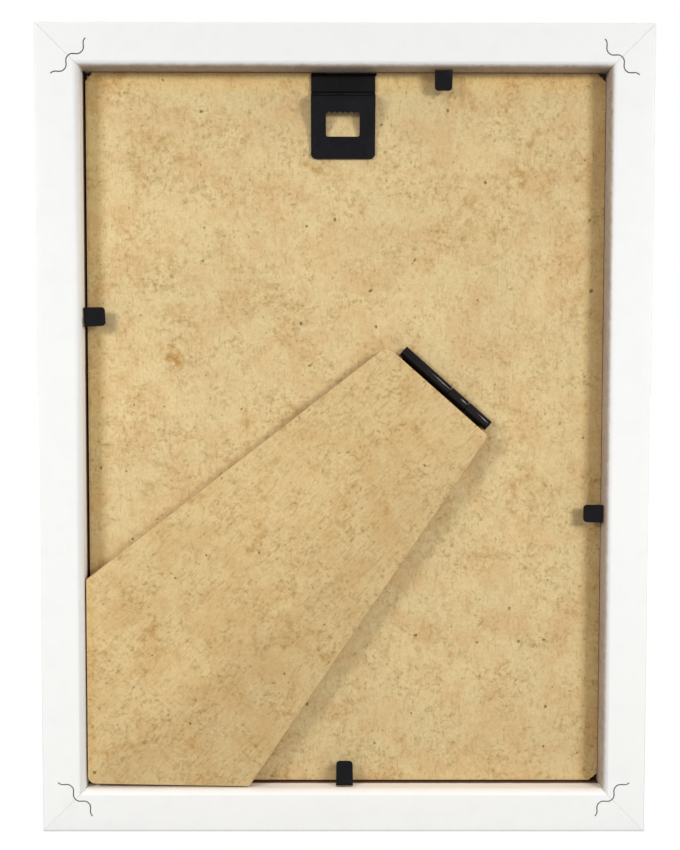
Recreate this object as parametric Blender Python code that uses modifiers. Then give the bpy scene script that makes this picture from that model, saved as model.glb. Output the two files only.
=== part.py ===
# A white picture frame of fibreboard for prints of 13 x 18 cm, with its easel leg folded in.
# Lengths are in metres. +Z is up, +Y points out of the frame's back, and the origin lies
# under the middle of the frame, on the surface that it stands on.
# Flat pieces are drawn as they look from behind: u to the right, v up from the frame's middle,
# and n out of the back, measured from the backboard's rear face.

from math import cos, pi, radians, sin, tan, tanh

import bmesh
import bpy
from mathutils import Matrix, Vector

# Moulding
OPENING_WIDTH = 0.132
OPENING_HEIGHT = 0.182
RAIL_WIDTH = 0.011
LIP_WIDTH = 0.005
LIP_THICKNESS = 0.004
RECESS_DEPTH = 0.0055
MITRE_GAP = 0.0001
FRONT_EDGE_RADIUS = 0.0012
BACK_OUTER_RADIUS = 0.0006
BACK_INNER_RADIUS = 0.0016

# Glass, sheet and backboard, each lying on the one in front of it
LAYER_GAP = 0.0001
GLASS_THICKNESS = 0.002
GLASS_SIDE_GAP = 0.0002
GLASS_EDGE_BEVEL = 0.0002
SHEET_THICKNESS = 0.0005
SHEET_SIDE_GAP = 0.0003
BOARD_THICKNESS = 0.0025
BOARD_SIDE_GAP = 0.0003
BOARD_CORNER_CHAMFER = 0.002

# Corrugated fasteners, driven across each mitre from behind
FASTENER_THICKNESS = 0.0004
FASTENER_LENGTH = 0.0124
FASTENER_DEPTH = 0.008
FASTENER_SINK = 0.0001
FASTENER_CLEARANCE = 0.00008
FASTENER_FROM_CORNER = 0.01275
WAVE_HEIGHT = 0.00085
WAVE_LENGTH = 0.0061
CREST_FLATTENING = 1.1

# Hinge: three knuckles on a pin, both leaves under the leg
HINGE_U = 0.02568
HINGE_V = 0.01142
HINGE_SLOPE = radians(41.4)
UPPER_KNUCKLE = 0.0155
MIDDLE_KNUCKLE = 0.0056
LOWER_KNUCKLE = 0.0074
KNUCKLE_GAP = 0.0002
BARREL_DIAMETER = 0.0029
PIN_DIAMETER = 0.0012
PIN_CLEARANCE = 0.0001
PIN_RECESS = 0.00015
LEAF_THICKNESS = 0.0006
LEAF_WIDTH = 0.009
LEAF_INSET = 0.0014
LEAVES_APART = 0.0005
KNUCKLE_RELIEF = 0.0003
TONGUE_INSET = 0.00015
SHOULDER_FALL = 0.0002
SEAT_GAP = 0.0001
PRONG_WIDTH = 0.0025
PRONG_THICKNESS = 0.0007
PRONG_LENGTH = 0.0015
PRONG_FROM_END = 0.004
PRONG_FROM_EDGE = 0.002
PRONG_CLEARANCE = 0.0001

# Leg, seen from behind: a long blade that widens towards the foot
LEG_THICKNESS = 0.0025
LEG_TO_BARREL = 0.00045
LEG_PAST_UPPER_END = 0.0039
LEG_PAST_LOWER_END = 0.0015
LEG_UPPER_EDGE_ANGLE = radians(37.9)
LEG_LOWER_EDGE_ANGLE = radians(56.05)
LEG_TO_SIDE_WALL = 0.0004
LEG_TO_BOTTOM_WALL = 0.00105
LEG_FOOT_SLOPE = radians(1.0)
LEG_SHOULDER_RADIUS = 0.0025
LEG_NOSE_RADIUS = 0.0012
LEG_FOOT_RADIUS = 0.002

# Hanger: a clip hooked over the board's top edge, and a plate below its slotted fold, which
# rises steeply to a rounded ridge and slopes back to the board, to leave room for a nail's head
HANGER_U = -0.0005
HANGER_WIDTH = 0.0162
HANGER_THICKNESS = 0.0005
HANGER_BEND_RADIUS = 0.0006
HANGER_SIDE_GAP = 0.00015
CLIP_FRONT_LENGTH = 0.0072
CLIP_SEAT_GAP = 0.0001
CLIP_TO_SHEET = 0.0001
CLIP_NOTCH_DEPTH = 0.0008
CLIP_REACH = 0.00425
FOLD_TO_CLIP = 0.0004
FOLD_TO_PLATE = 0.00035
FOLD_BRIDGE_WIDTH = 0.0018
FOLD_BRIDGE_U = -0.00122
FOLD_EDGE_WIDTH = 0.0006
RISE_FROM_FOLD = 0.00042
RISE_BEND_RADIUS = 0.00035
RIDGE_FROM_FOLD = 0.00105
RIDGE_HEIGHT = 0.00292
RIDGE_RADIUS = 0.0009
FLAT_FROM_FOLD = 0.0107
FLAT_BEND_RADIUS = 0.003
PLATE_LENGTH = 0.0163
PLATE_CORNER_RADIUS = 0.0013
NAIL_HOLE_U = -0.00058
NAIL_HOLE_WIDTH = 0.00845
NAIL_HOLE_HEIGHT = 0.006
NAIL_HOLE_TO_FOLD = 0.00475
NAIL_HOLE_RADIUS = 0.0005
NAIL_TEETH = 6
NAIL_TOOTH_DEPTH = 0.0004

# Tabs: steel strips with a root in the rail and a blade that slopes down over the board
TAB_THICKNESS = 0.0005
TAB_OVER_BOARD = 0.0031
TAB_SLOPE = radians(12)
TAB_ROOT_LENGTH = 0.006
TAB_ROOT_CHAMFER = 0.0012
TAB_CLEARANCE = 0.0001
TAB_AXIS_FROM_WALL = 0.0005
TAB_TIP_RADIUS = 0.0009
TAB_TIP_NARROWING = 0.0001
# Places along each wall run anticlockwise round the opening, from its middle, seen from behind
TABS = {
    "bottom": {"along": 0.00013, "width": 0.0044, "reach": 0.0063, "tilt": 0.0},
    "right": {"along": -0.0204, "width": 0.0046, "reach": 0.00505, "tilt": 0.0},
    "top": {"along": -0.0246, "width": 0.0045, "reach": 0.0051, "tilt": 0.0},
    "left": {"along": -0.0292, "width": 0.0049, "reach": 0.0055, "tilt": radians(3.0)},
}

END_ROUNDNESS = 0.9
END_SEGMENTS = 3
ARC_STEPS = 6
WAVE_STEPS = 36
TOOTH_STEPS = 4
ROUND_SEGMENTS = 32
SMOOTH_ANGLE = radians(35)
CUT_MARGIN = 0.001
WELD_DISTANCE = 1e-7
SAME_PLACE = 1e-6

# Sizes that follow from those above
FRAME_WIDTH = OPENING_WIDTH + 2 * RAIL_WIDTH
FRAME_HEIGHT = OPENING_HEIGHT + 2 * RAIL_WIDTH
GLASS_DEPTH = LIP_THICKNESS + LAYER_GAP
SHEET_DEPTH = GLASS_DEPTH + GLASS_THICKNESS + LAYER_GAP
BOARD_DEPTH = SHEET_DEPTH + SHEET_THICKNESS + LAYER_GAP
BOARD_REAR_DEPTH = BOARD_DEPTH + BOARD_THICKNESS
FRAME_DEPTH = BOARD_REAR_DEPTH + RECESS_DEPTH
BOARD_WIDTH = OPENING_WIDTH - 2 * BOARD_SIDE_GAP
BOARD_HEIGHT = OPENING_HEIGHT - 2 * BOARD_SIDE_GAP

BARREL_RADIUS = BARREL_DIAMETER / 2
BORE_RADIUS = PIN_DIAMETER / 2 + PIN_CLEARANCE
HINGE_LENGTH = UPPER_KNUCKLE + MIDDLE_KNUCKLE + LOWER_KNUCKLE + 2 * KNUCKLE_GAP
AXIS_HEIGHT = SEAT_GAP + BARREL_RADIUS
FIXED_LEAF_Z = SEAT_GAP - AXIS_HEIGHT
MOVING_LEAF_Z = FIXED_LEAF_Z + LEAF_THICKNESS + LEAVES_APART
LEG_Z = MOVING_LEAF_Z + LEAF_THICKNESS + SEAT_GAP
UPPER_JOINT_X = HINGE_LENGTH / 2 - UPPER_KNUCKLE
LOWER_JOINT_X = LOWER_KNUCKLE - HINGE_LENGTH / 2
HINGE_TURN = pi - HINGE_SLOPE

CLIP_TOP_V = BOARD_HEIGHT / 2 - CLIP_NOTCH_DEPTH + CLIP_SEAT_GAP + HANGER_THICKNESS / 2
CLIP_END_V = CLIP_TOP_V - CLIP_REACH
FOLD_V = CLIP_END_V - FOLD_TO_CLIP
CLIP_FRONT_N = CLIP_TO_SHEET + HANGER_THICKNESS / 2 - BOARD_THICKNESS
CLIP_POCKET_DEPTH = CLIP_TO_SHEET + HANGER_THICKNESS + CLIP_SEAT_GAP
CLIP_REAR_N = CLIP_SEAT_GAP + HANGER_THICKNESS / 2

# Each side of the frame, turned about n from the bottom one
SIDE_TURNS = {"bottom": 0.0, "right": pi / 2, "top": pi, "left": 3 * pi / 2}
SIDE_LENGTHS = {
    "bottom": FRAME_WIDTH,
    "right": FRAME_HEIGHT,
    "top": FRAME_WIDTH,
    "left": FRAME_HEIGHT,
}
SIDE_DISTANCES = {
    "bottom": OPENING_HEIGHT / 2,
    "right": OPENING_WIDTH / 2,
    "top": OPENING_HEIGHT / 2,
    "left": OPENING_WIDTH / 2,
}

# Finishes: colour as seen in even light (0 to 255), roughness, metallic
WHITE_PAINT = {"colour": (245, 245, 243), "roughness": 0.45, "metallic": 0.0}
BARE_FIBREBOARD = {"colour": (217, 191, 141), "roughness": 0.8, "metallic": 0.0}
BLACK_STEEL = {"colour": (40, 40, 46), "roughness": 0.35, "metallic": 1.0}
GREY_STEEL = {"colour": (128, 128, 126), "roughness": 0.45, "metallic": 1.0}
WHITE_PAPER = {"colour": (240, 240, 235), "roughness": 0.9, "metallic": 0.0}
CLEAR_GLASS = {"colour": (250, 252, 251), "roughness": 0.02, "metallic": 0.0}


def clear_scene():
    for leftover in list(bpy.data.objects):
        bpy.data.objects.remove(leftover, do_unlink=True)


def new_collection(name):
    collection = bpy.data.collections.new(name)
    bpy.context.scene.collection.children.link(collection)
    return collection


def linear(channel):
    share = channel / 255
    if share <= 0.04045:
        return share / 12.92
    return ((share + 0.055) / 1.055) ** 2.4


def make_material(name, finish):
    material = bpy.data.materials.new(name)
    material.use_nodes = True
    shader = material.node_tree.nodes["Principled BSDF"]
    colour = [linear(channel) for channel in finish["colour"]]
    shader.inputs["Base Color"].default_value = (*colour, 1.0)
    shader.inputs["Roughness"].default_value = finish["roughness"]
    shader.inputs["Metallic"].default_value = finish["metallic"]
    if finish is CLEAR_GLASS:
        shader.inputs["Transmission Weight"].default_value = 1.0
    return material


def rounded(corners, radii):
    """Closed outline through the corners, with an arc at each corner whose radius isn't 0."""
    points = []
    for index, (corner, radius) in enumerate(zip(corners, radii)):
        corner = Vector(corner)
        if radius == 0:
            points.append(corner)
            continue
        back = (Vector(corners[index - 1]) - corner).normalized()
        onward = (Vector(corners[(index + 1) % len(corners)]) - corner).normalized()
        half_angle = back.angle(onward) / 2
        centre = corner + (back + onward).normalized() * radius / sin(half_angle)
        start = corner + back * radius / tan(half_angle) - centre
        end = corner + onward * radius / tan(half_angle) - centre
        sweep = -start.angle_signed(end)
        for step in range(ARC_STEPS + 1):
            points.append(centre + Matrix.Rotation(sweep * step / ARC_STEPS, 2) @ start)
    return points


def strip_outline(path, thickness):
    """Closed outline of a strip of even thickness whose centre line is an open path."""
    left = []
    right = []
    for index, point in enumerate(path):
        before = path[max(index - 1, 0)]
        after = path[min(index + 1, len(path) - 1)]
        inward = (point - before).normalized()
        outward = (after - point).normalized()
        along = (inward + outward).normalized()
        reach = thickness / 2 / max(along.dot(outward), along.dot(inward))
        across = Vector((-along.y, along.x)) * reach
        left.append(point + across)
        right.append(point - across)
    return left + right[::-1]


def crossing(point, direction, other, other_direction):
    """Where two lines meet, each given by a point and a direction."""
    gap = other - point
    share = gap.cross(other_direction) / direction.cross(other_direction)
    return point + direction * share


def clean(mesh):
    work = bmesh.new()
    work.from_mesh(mesh)
    bmesh.ops.remove_doubles(work, verts=work.verts, dist=WELD_DISTANCE)
    bmesh.ops.recalc_face_normals(work, faces=work.faces)
    work.to_mesh(mesh)
    work.free()
    mesh.shade_smooth()
    mesh.set_sharp_from_angle(angle=SMOOTH_ANGLE)


def extruded(name, loops, thickness):
    """A mesh of flat closed loops, the inner ones holes, extruded evenly about their plane."""
    curve = bpy.data.curves.new(name, "CURVE")
    curve.dimensions = "2D"
    curve.fill_mode = "BOTH"
    curve.extrude = thickness / 2
    for loop in loops:
        spline = curve.splines.new("POLY")
        spline.points.add(len(loop) - 1)
        spline.use_cyclic_u = True
        for point, place in zip(spline.points, loop):
            point.co = (place[0], place[1], 0.0, 1.0)
    drawing = bpy.data.objects.new(name + "_outline", curve)
    bpy.context.scene.collection.objects.link(drawing)
    graph = bpy.context.evaluated_depsgraph_get()
    mesh = bpy.data.meshes.new_from_object(drawing.evaluated_get(graph))
    mesh.name = name
    bpy.data.objects.remove(drawing, do_unlink=True)
    bpy.data.curves.remove(curve)
    clean(mesh)
    return mesh


def boxes(name, spans):
    """A mesh of separate boxes, each given by its spans along x, y and z."""
    work = bmesh.new()
    for span in spans:
        sizes = [high - low for low, high in span]
        middle = [(high + low) / 2 for low, high in span]
        place = Matrix.Translation(middle) @ Matrix.Diagonal((*sizes, 1.0))
        bmesh.ops.create_cube(work, size=1.0, matrix=place)
    mesh = bpy.data.meshes.new(name)
    work.to_mesh(mesh)
    work.free()
    return mesh


def add_cylinder(work, radius, start_x, end_x):
    """Adds a round bar along x, from one end to the other."""
    turn = Matrix.Rotation(pi / 2, 4, "Y")
    place = Matrix.Translation(((start_x + end_x) / 2, 0.0, 0.0)) @ turn
    bmesh.ops.create_cone(
        work,
        cap_ends=True,
        segments=ROUND_SEGMENTS,
        radius1=radius,
        radius2=radius,
        depth=abs(end_x - start_x),
        matrix=place,
    )


def bars(name, spans):
    """A mesh of separate round bars along x, each given by its radius and two ends."""
    work = bmesh.new()
    for radius, start_x, end_x in spans:
        add_cylinder(work, radius, start_x, end_x)
    mesh = bpy.data.meshes.new(name)
    work.to_mesh(mesh)
    work.free()
    mesh.shade_smooth()
    mesh.set_sharp_from_angle(angle=SMOOTH_ANGLE)
    return mesh


def place_object(name, mesh, collection, parent, location, turn):
    placed = bpy.data.objects.new(name, mesh)
    collection.objects.link(placed)
    placed.parent = parent
    placed.location = location
    placed.rotation_euler = turn
    return placed


def add_part(name, mesh, finish, parent, location=(0.0, 0.0, 0.0), turn=(0.0, 0.0, 0.0)):
    part = place_object(name, mesh, parts, parent, location, turn)
    mesh.materials.append(make_material(name + "_finish", finish))
    return part


def add_cutter(name, mesh, parent, location=(0.0, 0.0, 0.0), turn=(0.0, 0.0, 0.0)):
    cutter = place_object(name, mesh, cutters, parent, location, turn)
    cutter.hide_render = True
    cutter.display_type = "WIRE"
    return cutter


def add_empty(name, parent, location, turn):
    empty = place_object(name, None, parts, parent, location, turn)
    empty.empty_display_size = RAIL_WIDTH
    return empty


def combine(part, other, operation):
    boolean = part.modifiers.new(other.name, "BOOLEAN")
    boolean.operation = operation
    boolean.solver = "EXACT"
    boolean.object = other


def rail_turn(side):
    """Puts a section's x towards the frame's middle, its y out of the back and its z along."""
    upright = Matrix(((0.0, 0.0, 1.0), (1.0, 0.0, 0.0), (0.0, 1.0, 0.0)))
    return (Matrix.Rotation(SIDE_TURNS[side], 3, "Z") @ upright).to_euler()


def side_place(side, along, inward, height):
    """A point beside one rail: along it, inward from its rebate wall, and above the board."""
    turn = Matrix.Rotation(SIDE_TURNS[side], 3, "Z")
    return turn @ Vector((along, inward - SIDE_DISTANCES[side], height))


def make_rail(side):
    front = -BOARD_REAR_DEPTH
    corners = [
        (0.0, front),
        (RAIL_WIDTH + LIP_WIDTH, front),
        (RAIL_WIDTH + LIP_WIDTH, front + LIP_THICKNESS),
        (RAIL_WIDTH, front + LIP_THICKNESS),
        (RAIL_WIDTH, RECESS_DEPTH),
        (0.0, RECESS_DEPTH),
    ]
    radii = [FRONT_EDGE_RADIUS, FRONT_EDGE_RADIUS, 0, 0, BACK_INNER_RADIUS, BACK_OUTER_RADIUS]
    length = SIDE_LENGTHS[side]
    mesh = extruded("rail_" + side, [rounded(corners, radii)], length)
    work = bmesh.new()
    work.from_mesh(mesh)
    for end in (1.0, -1.0):
        outward = Vector((1.0, 0.0, end)).normalized()
        cut = bmesh.ops.bisect_plane(
            work,
            geom=list(work.verts) + list(work.edges) + list(work.faces),
            plane_co=Vector((0.0, 0.0, end * length / 2)) - outward * MITRE_GAP / 2,
            plane_no=outward,
            clear_outer=True,
        )
        rim = [piece for piece in cut["geom_cut"] if isinstance(piece, bmesh.types.BMEdge)]
        bmesh.ops.edgeloop_fill(work, edges=rim)
    work.to_mesh(mesh)
    work.free()
    clean(mesh)
    location = side_place(side, 0.0, -RAIL_WIDTH, 0.0)
    return add_part("rail_" + side, mesh, WHITE_PAINT, back, location, rail_turn(side))


def wave_path():
    """The fastener's centre line: x across the mitre, y along it from the outer corner."""
    path = []
    for step in range(WAVE_STEPS + 1):
        across = FASTENER_LENGTH * (step / WAVE_STEPS - 0.5)
        wave = tanh(CREST_FLATTENING * cos(2 * pi * across / WAVE_LENGTH)) / tanh(CREST_FLATTENING)
        path.append(Vector((across, FASTENER_FROM_CORNER - WAVE_HEIGHT * wave)))
    return path


def make_fastener(number, corner, turn):
    """Drives a corrugated strip across one mitre and cuts its slot in the two rails there."""
    location = (*corner, RECESS_DEPTH - FASTENER_SINK - FASTENER_DEPTH / 2)
    name = f"corner_fastener_{number}"
    strip = extruded(name, [strip_outline(wave_path(), FASTENER_THICKNESS)], FASTENER_DEPTH)
    add_part(name, strip, GREY_STEEL, back, location, (0.0, 0.0, turn))
    path = wave_path()
    for end, neighbour in ((0, 1), (-1, -2)):
        onward = (path[end] - path[neighbour]).normalized()
        path[end] = path[end] + onward * FASTENER_CLEARANCE
    slot_thickness = FASTENER_THICKNESS + 2 * FASTENER_CLEARANCE
    floor = location[2] - FASTENER_DEPTH / 2 - FASTENER_CLEARANCE
    top = RECESS_DEPTH + CUT_MARGIN
    slot = extruded(name + "_slot", [strip_outline(path, slot_thickness)], top - floor)
    return add_cutter(slot.name, slot, back, (*corner, (top + floor) / 2), (0.0, 0.0, turn))


def make_moulding():
    rails = {side: make_rail(side) for side in SIDE_TURNS}
    half_width = FRAME_WIDTH / 2
    half_height = FRAME_HEIGHT / 2
    meetings = (
        ((-half_width, -half_height), ("left", "bottom")),
        ((half_width, -half_height), ("bottom", "right")),
        ((half_width, half_height), ("right", "top")),
        ((-half_width, half_height), ("top", "left")),
    )
    for index, (corner, sides) in enumerate(meetings):
        slot = make_fastener(index + 1, corner, index * pi / 2 - pi / 4)
        for side in sides:
            combine(rails[side], slot, "DIFFERENCE")
    return rails


def make_glass():
    half_width = OPENING_WIDTH / 2 - GLASS_SIDE_GAP
    half_height = OPENING_HEIGHT / 2 - GLASS_SIDE_GAP
    front = GLASS_DEPTH - BOARD_REAR_DEPTH
    span = ((-half_width, half_width), (-half_height, half_height), (front, front + GLASS_THICKNESS))
    glass = add_part("glass", boxes("glass", [span]), CLEAR_GLASS, back)
    ground = glass.modifiers.new("ground_edges", "BEVEL")
    ground.width = GLASS_EDGE_BEVEL
    ground.segments = 1


def make_sheet():
    half_width = OPENING_WIDTH / 2 - SHEET_SIDE_GAP
    half_height = OPENING_HEIGHT / 2 - SHEET_SIDE_GAP
    front = SHEET_DEPTH - BOARD_REAR_DEPTH
    span = ((-half_width, half_width), (-half_height, half_height), (front, front + SHEET_THICKNESS))
    add_part("picture_sheet", boxes("picture_sheet", [span]), WHITE_PAPER, back)


def make_board():
    half_width = BOARD_WIDTH / 2
    half_height = BOARD_HEIGHT / 2
    outline = []
    for across, up in ((-1, -1), (1, -1), (1, 1), (-1, 1)):
        level = Vector((across * (half_width - BOARD_CORNER_CHAMFER), up * half_height))
        upright = Vector((across * half_width, up * (half_height - BOARD_CORNER_CHAMFER)))
        outline += [upright, level] if across * up > 0 else [level, upright]
    mesh = extruded("backboard", [outline], BOARD_THICKNESS)
    return add_part("backboard", mesh, BARE_FIBREBOARD, back, (0.0, 0.0, -BOARD_THICKNESS / 2))


def prong_spans(low, high, clearance):
    """The boxes that a leaf's two prongs fill, or with a clearance the pockets they sit in."""
    end = HINGE_LENGTH / 2 - LEAF_INSET - PRONG_FROM_END
    middle_y = LEAF_WIDTH - PRONG_FROM_EDGE
    half_width = PRONG_WIDTH / 2 + clearance
    half_thickness = PRONG_THICKNESS / 2 + clearance
    spans = []
    for middle_x in (-end, end):
        along = (middle_x - half_width, middle_x + half_width)
        across = (middle_y - half_thickness, middle_y + half_thickness)
        spans.append((along, across, (low, high)))
    return spans


def fixed_leaf_outline():
    """A leaf that starts under the barrel and leaves room for the middle knuckle."""
    end = HINGE_LENGTH / 2 - LEAF_INSET
    clear_y = BARREL_RADIUS + KNUCKLE_RELIEF
    slot_high = UPPER_JOINT_X + TONGUE_INSET
    slot_low = LOWER_JOINT_X - TONGUE_INSET
    return [
        (-end, 0.0),
        (slot_low, 0.0),
        (slot_low, clear_y),
        (slot_high, clear_y),
        (slot_high, 0.0),
        (end, 0.0),
        (end, LEAF_WIDTH),
        (-end, LEAF_WIDTH),
    ]


def moving_leaf_outline():
    """A leaf that clears the fixed knuckles and reaches the pin at its own one."""
    end = HINGE_LENGTH / 2 - LEAF_INSET
    clear_y = BARREL_RADIUS + KNUCKLE_RELIEF
    tongue_high = UPPER_JOINT_X - KNUCKLE_GAP - TONGUE_INSET
    tongue_low = LOWER_JOINT_X + KNUCKLE_GAP + TONGUE_INSET
    end_y = clear_y + SHOULDER_FALL
    return [
        (-end, end_y),
        (tongue_low, clear_y),
        (tongue_low, 0.0),
        (tongue_high, 0.0),
        (tongue_high, clear_y),
        (end, end_y),
        (end, LEAF_WIDTH),
        (-end, LEAF_WIDTH),
    ]


def make_leaf(name, outline, low, knuckles, prongs, parent, bore):
    """One leaf with its knuckles rolled round the pin and two prongs punched out of it."""
    plate = extruded(name, [outline], LEAF_THICKNESS)
    leaf = add_part(name, plate, BLACK_STEEL, parent, (0.0, 0.0, low + LEAF_THICKNESS / 2))
    rolled = bars(name + "_knuckles", [(BARREL_RADIUS, start, end) for start, end in knuckles])
    combine(leaf, add_cutter(rolled.name, rolled, parent), "UNION")
    combine(leaf, add_cutter(name + "_prongs", boxes(name + "_prongs", prongs), parent), "UNION")
    combine(leaf, bore, "DIFFERENCE")


def make_hinge(board):
    """The diagonal hinge. Returns the empty on its axis that carries what swings."""
    place = (HINGE_U, HINGE_V, AXIS_HEIGHT)
    axis = add_empty("leg_axis", back, place, (0.0, 0.0, HINGE_TURN))
    seat = add_empty("hinge_seat", back, place, (0.0, 0.0, HINGE_TURN))
    end = HINGE_LENGTH / 2
    bore_mesh = bars("hinge_bore", [(BORE_RADIUS, -end - CUT_MARGIN, end + CUT_MARGIN)])
    bore = add_cutter("hinge_bore", bore_mesh, seat)
    overlap = LEAF_THICKNESS / 2
    make_leaf(
        "hinge_fixed_leaf",
        fixed_leaf_outline(),
        FIXED_LEAF_Z,
        [(UPPER_JOINT_X, end), (-end, LOWER_JOINT_X)],
        prong_spans(FIXED_LEAF_Z - PRONG_LENGTH, FIXED_LEAF_Z + overlap, 0.0),
        seat,
        bore,
    )
    leaf_top = MOVING_LEAF_Z + LEAF_THICKNESS
    make_leaf(
        "hinge_moving_leaf",
        moving_leaf_outline(),
        MOVING_LEAF_Z,
        [(LOWER_JOINT_X + KNUCKLE_GAP, UPPER_JOINT_X - KNUCKLE_GAP)],
        prong_spans(leaf_top - overlap, leaf_top + PRONG_LENGTH, 0.0),
        axis,
        bore,
    )
    pin = bars("hinge_pin", [(PIN_DIAMETER / 2, -end + PIN_RECESS, end - PIN_RECESS)])
    add_part("hinge_pin", pin, BLACK_STEEL, seat)
    pocket_floor = FIXED_LEAF_Z - PRONG_LENGTH - PRONG_CLEARANCE
    pockets = prong_spans(pocket_floor, CUT_MARGIN - AXIS_HEIGHT, PRONG_CLEARANCE)
    cutter = add_cutter("board_prong_pockets", boxes("board_prong_pockets", pockets), seat)
    combine(board, cutter, "DIFFERENCE")
    return axis


def leg_outline():
    """The leg's corners, worked out as seen from behind and given in the hinge's own plane."""
    hinge = Vector((HINGE_U, HINGE_V))
    turn = Matrix.Rotation(HINGE_TURN, 2)
    end_y = BARREL_RADIUS + LEG_TO_BARREL
    shoulder = hinge + turn @ Vector((HINGE_LENGTH / 2 + LEG_PAST_UPPER_END, end_y))
    nose = hinge + turn @ Vector((-HINGE_LENGTH / 2 - LEG_PAST_LOWER_END, end_y))
    upper_edge = Vector((cos(LEG_UPPER_EDGE_ANGLE), sin(LEG_UPPER_EDGE_ANGLE)))
    lower_edge = Vector((cos(LEG_LOWER_EDGE_ANGLE), sin(LEG_LOWER_EDGE_ANGLE)))
    foot_edge = Vector((cos(LEG_FOOT_SLOPE), -sin(LEG_FOOT_SLOPE)))
    heel = Vector((LEG_TO_SIDE_WALL - OPENING_WIDTH / 2, LEG_TO_BOTTOM_WALL - OPENING_HEIGHT / 2))
    toe = crossing(nose, lower_edge, heel, foot_edge)
    side_top = crossing(shoulder, upper_edge, heel, Vector((0.0, 1.0)))
    corners = [turn.inverted() @ (corner - hinge) for corner in (shoulder, side_top, heel, toe, nose)]
    return rounded(corners, [LEG_SHOULDER_RADIUS, 0, LEG_FOOT_RADIUS, 0, LEG_NOSE_RADIUS])


def make_leg(axis):
    mesh = extruded("leg", [leg_outline()], LEG_THICKNESS)
    leg = add_part("leg", mesh, BARE_FIBREBOARD, axis, (0.0, 0.0, LEG_Z + LEG_THICKNESS / 2))
    pocket_top = LEG_Z - SEAT_GAP + PRONG_LENGTH + PRONG_CLEARANCE
    pockets = prong_spans(LEG_Z - CUT_MARGIN, pocket_top, PRONG_CLEARANCE)
    cutter = add_cutter("leg_prong_pockets", boxes("leg_prong_pockets", pockets), axis)
    combine(leg, cutter, "DIFFERENCE")


def make_clip(board):
    """A strip that starts in a pocket in the board's front and lies flat on its rear."""
    front_low = CLIP_TOP_V - CLIP_FRONT_LENGTH
    corners = [
        (front_low, CLIP_FRONT_N),
        (CLIP_TOP_V, CLIP_FRONT_N),
        (CLIP_TOP_V, CLIP_REAR_N),
        (CLIP_END_V, CLIP_REAR_N),
    ]
    path = rounded(corners, [0, HANGER_BEND_RADIUS, HANGER_BEND_RADIUS, 0])
    mesh = extruded("hanger_clip", [strip_outline(path, HANGER_THICKNESS)], HANGER_WIDTH)
    add_part("hanger_clip", mesh, BLACK_STEEL, back, (HANGER_U, 0.0, 0.0), rail_turn("bottom"))
    half_width = HANGER_WIDTH / 2 + HANGER_SIDE_GAP
    across = (HANGER_U - half_width, HANGER_U + half_width)
    edge = BOARD_HEIGHT / 2
    front = -BOARD_THICKNESS
    notch = (across, (edge - CLIP_NOTCH_DEPTH, edge + CUT_MARGIN), (front - CUT_MARGIN, CUT_MARGIN))
    pocket = (
        across,
        (front_low - CLIP_SEAT_GAP, edge + 2 * CUT_MARGIN),
        (front - 2 * CUT_MARGIN, front + CLIP_POCKET_DEPTH),
    )
    for name, span in (("clip_notch", notch), ("clip_pocket", pocket)):
        combine(board, add_cutter(name, boxes(name, [span]), back), "DIFFERENCE")


def plate_profile():
    """The bent plate's section: up from the fold, over its ridge and down to the board."""
    corners = [
        (HANGER_THICKNESS / 2, CLIP_REAR_N),
        (-RISE_FROM_FOLD, CLIP_REAR_N),
        (-RIDGE_FROM_FOLD, RIDGE_HEIGHT),
        (-FLAT_FROM_FOLD, CLIP_REAR_N),
        (-PLATE_LENGTH - CUT_MARGIN, CLIP_REAR_N),
    ]
    path = rounded(corners, [0, RISE_BEND_RADIUS, RIDGE_RADIUS, FLAT_BEND_RADIUS, 0])
    strip = strip_outline(path, HANGER_THICKNESS)
    end_radius = HANGER_THICKNESS / 2 * END_ROUNDNESS
    return rounded(strip, [end_radius] + [0] * (len(strip) - 2) + [end_radius])


def plate_outline():
    """The hanger plate, with the bridges that cross the slotted fold, from the fold's axis."""
    half_width = HANGER_WIDTH / 2
    bridge_end = HANGER_THICKNESS
    bridge_u = FOLD_BRIDGE_U - HANGER_U
    bridge_low = bridge_u - FOLD_BRIDGE_WIDTH / 2
    bridge_high = bridge_u + FOLD_BRIDGE_WIDTH / 2
    edge_inside = half_width - FOLD_EDGE_WIDTH
    top = -FOLD_TO_PLATE
    corners = [
        (-half_width, -PLATE_LENGTH),
        (half_width, -PLATE_LENGTH),
        (half_width, bridge_end),
        (edge_inside, bridge_end),
        (edge_inside, top),
        (bridge_high, top),
        (bridge_high, bridge_end),
        (bridge_low, bridge_end),
        (bridge_low, top),
        (-edge_inside, top),
        (-edge_inside, bridge_end),
        (-half_width, bridge_end),
    ]
    return rounded(corners, [PLATE_CORNER_RADIUS] * 2 + [0] * 10)


def nail_hole():
    """The hole that the nail goes in, with a row of scalloped teeth along its upper edge."""
    middle = NAIL_HOLE_U - HANGER_U
    left = middle - NAIL_HOLE_WIDTH / 2
    right = middle + NAIL_HOLE_WIDTH / 2
    top = -NAIL_HOLE_TO_FOLD
    bottom = top - NAIL_HOLE_HEIGHT
    steps = NAIL_TEETH * TOOTH_STEPS
    teeth = []
    for step in range(steps + 1):
        rise = sin(pi * (step % TOOTH_STEPS) / TOOTH_STEPS)
        place = right - NAIL_HOLE_WIDTH * step / steps
        teeth.append((place, top - NAIL_TOOTH_DEPTH * (1 - rise)))
    corners = [(left, bottom), (right, bottom)] + teeth
    return rounded(corners, [NAIL_HOLE_RADIUS] * 2 + [0] * len(teeth))


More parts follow.
